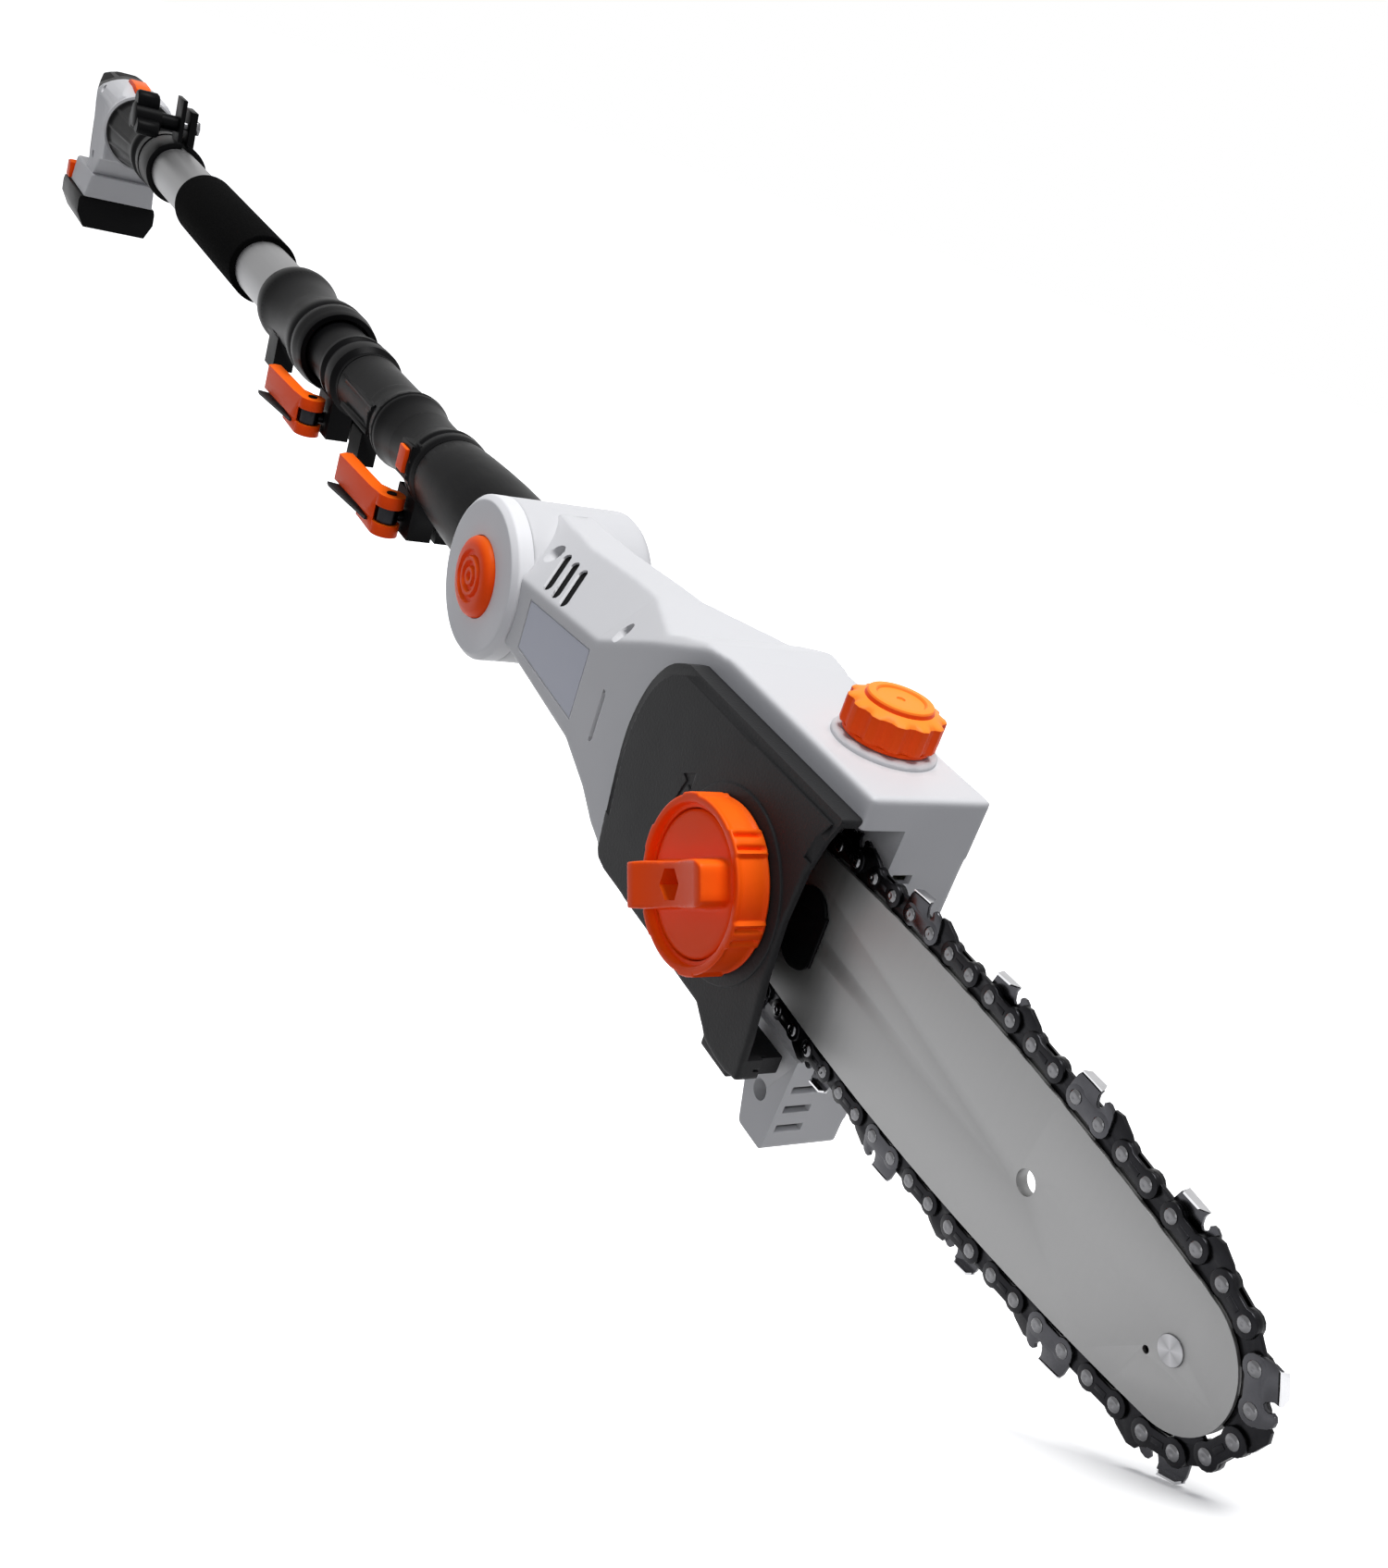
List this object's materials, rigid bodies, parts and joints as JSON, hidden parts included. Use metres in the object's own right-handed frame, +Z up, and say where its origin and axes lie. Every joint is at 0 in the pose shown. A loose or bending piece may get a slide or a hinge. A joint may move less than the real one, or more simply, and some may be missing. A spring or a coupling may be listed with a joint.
{
  "type": "telescoping cordless pole saw",
  "caption": "Telescoping cordless pole saw with nodding chainsaw head, cam-lever pole clamps, foam grip, rear handle and slide-on battery",
  "frame": {"origin": "on the pole's axis, in the middle of the bare stretch of the outer tube between the rear handle and the foam grip", "axes": "+X runs along the pole towards the saw's tip, +Z is up (the oil cap's side), and -Y is the side of the guide bar and knob"},
  "size_m": [1.4431, 0.0926, 0.1636],
  "materials": {
    "orange_plastic": "satin moulded orange plastic",
    "housing_plastic": "finely grained warm pale grey plastic",
    "black_plastic": "satin black plastic",
    "charcoal_plastic": "spark-textured charcoal plastic",
    "grip_rubber": "matt black soft overmould",
    "foam": "matt black foam",
    "tube_aluminium": "satin anodised aluminium",
    "tube_black": "black anodised aluminium",
    "steel": "bright steel",
    "bar_steel": "ground steel",
    "chain_steel": "dark oiled steel",
    "cutter_chrome": "chromed cutter steel",
    "cell_sleeve": "blue shrink sleeve over steel cans",
    "tank_plastic": "translucent pale plastic"
  },
  "bodies": {
    "handle": {"handle_shell_left": "housing_plastic", "handle_shell_right": "housing_plastic", "grip_overmould": "grip_rubber", "handle_screws": "steel", "bell_cone": "black_plastic", "switch_module": "charcoal_plastic", "terminal_block": "charcoal_plastic", "strap_clamp": "black_plastic", "strap_bolt": "steel", "outer_tube": "tube_aluminium", "foam_grip": "foam", "collar_a": "black_plastic", "clamp_sleeve_a": "black_plastic", "clamp_bolt_a": "chain_steel", "lever_pin_a": "chain_steel"},
    "wing_knob": {"wing_knob": "black_plastic"},
    "lever_a": {"cam_lever_a": "orange_plastic", "lever_pad_a": "charcoal_plastic"},
    "trigger": {"trigger": "orange_plastic"},
    "lock_off_button": {"lock_off_button": "orange_plastic"},
    "battery": {"battery_case": "black_plastic", "battery_cells": "cell_sleeve"},
    "battery_button": {"battery_button": "orange_plastic"},
    "inner_pole": {"inner_tube": "tube_black", "coupler": "black_plastic", "clamp_bolt_b": "chain_steel", "lever_pin_b": "chain_steel", "neck_tube": "black_plastic"},
    "lever_b": {"cam_lever_b": "orange_plastic", "lever_pad_b": "charcoal_plastic"},
    "detent_button": {"detent_button": "orange_plastic"},
    "head": {"head_housing": "housing_plastic", "head_back_cover": "housing_plastic", "pivot_cap": "housing_plastic", "pivot_pin": "steel", "head_screws": "steel", "motor_can": "steel", "spindle_bearings": "steel", "oil_tank": "tank_plastic", "oil_pump": "charcoal_plastic", "guide_bar": "bar_steel", "bar_plate": "black_plastic", "bar_stud": "steel", "nose_rivet": "steel", "sprocket_cover": "charcoal_plastic", "chain_drive_links": "chain_steel", "chain_tie_links": "chain_steel", "chain_cutters": "cutter_chrome"},
    "pivot_button": {"pivot_button": "orange_plastic"},
    "rotor": {"rotor": "steel", "pinion": "steel"},
    "spindle": {"spindle": "steel", "crown_gear": "steel", "drive_sprocket": "chain_steel"},
    "nose_sprocket": {"nose_sprocket": "chain_steel"},
    "oil_cap": {"oil_cap": "orange_plastic"},
    "knob_ring": {"knob_ring": "orange_plastic"},
    "knob_core": {"knob_core": "orange_plastic"}
  },
  "joints": [
    {"name": "wing_knob_turn", "type": "hinge", "parent": "handle", "child": "wing_knob", "pos_m": [-0.051, -0.02, 0.033], "axis": [0, 1, 0], "continuous": true},
    {"name": "lever_a_open", "type": "hinge", "parent": "handle", "child": "lever_a", "pos_m": [0.414, -0.021, -0.0278], "axis": [0, 0, 1], "range_deg": [0, 100]},
    {"name": "trigger_pull", "type": "slide", "parent": "handle", "child": "trigger", "axis": [-1, 0, 0], "range_m": [0, 0.006], "stiffness_N_per_m": 1200, "springref_m": -0.004},
    {"name": "lock_off_press", "type": "slide", "parent": "handle", "child": "lock_off_button", "axis": [0, 0, -1], "range_m": [0, 0.0025], "stiffness_N_per_m": 800, "springref_m": -0.004},
    {"name": "battery_slide", "type": "slide", "parent": "handle", "child": "battery", "axis": [-1, 0, 0], "range_m": [0, 0.09]},
    {"name": "battery_button_press", "type": "slide", "parent": "battery", "child": "battery_button", "axis": [0, 1, 0], "range_m": [0, 0.0024], "stiffness_N_per_m": 800, "springref_m": -0.003},
    {"name": "pole_extend", "type": "slide", "parent": "handle", "child": "inner_pole", "axis": [1, 0, 0], "range_m": [0, 0.38]},
    {"name": "lever_b_open", "type": "hinge", "parent": "inner_pole", "child": "lever_b", "pos_m": [0.551, -0.021, -0.0278], "axis": [0, 0, 1], "range_deg": [0, 100]},
    {"name": "detent_press", "type": "slide", "parent": "inner_pole", "child": "detent_button", "axis": [0, 1, 0], "range_m": [0, 0.0025], "stiffness_N_per_m": 800, "springref_m": -0.003},
    {"name": "head_nod", "type": "hinge", "parent": "inner_pole", "child": "head", "pos_m": [0.6873, 0, 0], "axis": [0, 1, 0], "range_deg": [0, 45]},
    {"name": "pivot_button_press", "type": "slide", "parent": "head", "child": "pivot_button", "axis": [0, 1, 0], "range_m": [0, 0.0025], "stiffness_N_per_m": 1000, "springref_m": -0.003},
    {"name": "motor_spin", "type": "hinge", "parent": "head", "child": "rotor", "pos_m": [0.835, 0, 0], "axis": [1, 0, 0], "continuous": true},
    {"name": "spindle_spin", "type": "hinge", "parent": "head", "child": "spindle", "pos_m": [0.8653, 0, 0], "axis": [0, 1, 0], "continuous": true},
    {"name": "nose_sprocket_spin", "type": "hinge", "parent": "head", "child": "nose_sprocket", "pos_m": [1.109, -0.0185, 0], "axis": [0, 1, 0], "continuous": true},
    {"name": "oil_cap_turn", "type": "hinge", "parent": "head", "child": "oil_cap", "pos_m": [0.9234, -0.0034, 0.06], "axis": [0, 0, 1], "continuous": true},
    {"name": "tension_ring_turn", "type": "hinge", "parent": "head", "child": "knob_ring", "pos_m": [0.9159, -0.044, 0], "axis": [0, 1, 0], "continuous": true},
    {"name": "lock_knob_turn", "type": "hinge", "parent": "head", "child": "knob_core", "pos_m": [0.9159, -0.055, 0], "axis": [0, 1, 0], "continuous": true}
  ],
  "couplings": [
    {"joint": "spindle_spin", "follows": "motor_spin", "ratio": 0.29412}
  ]
}
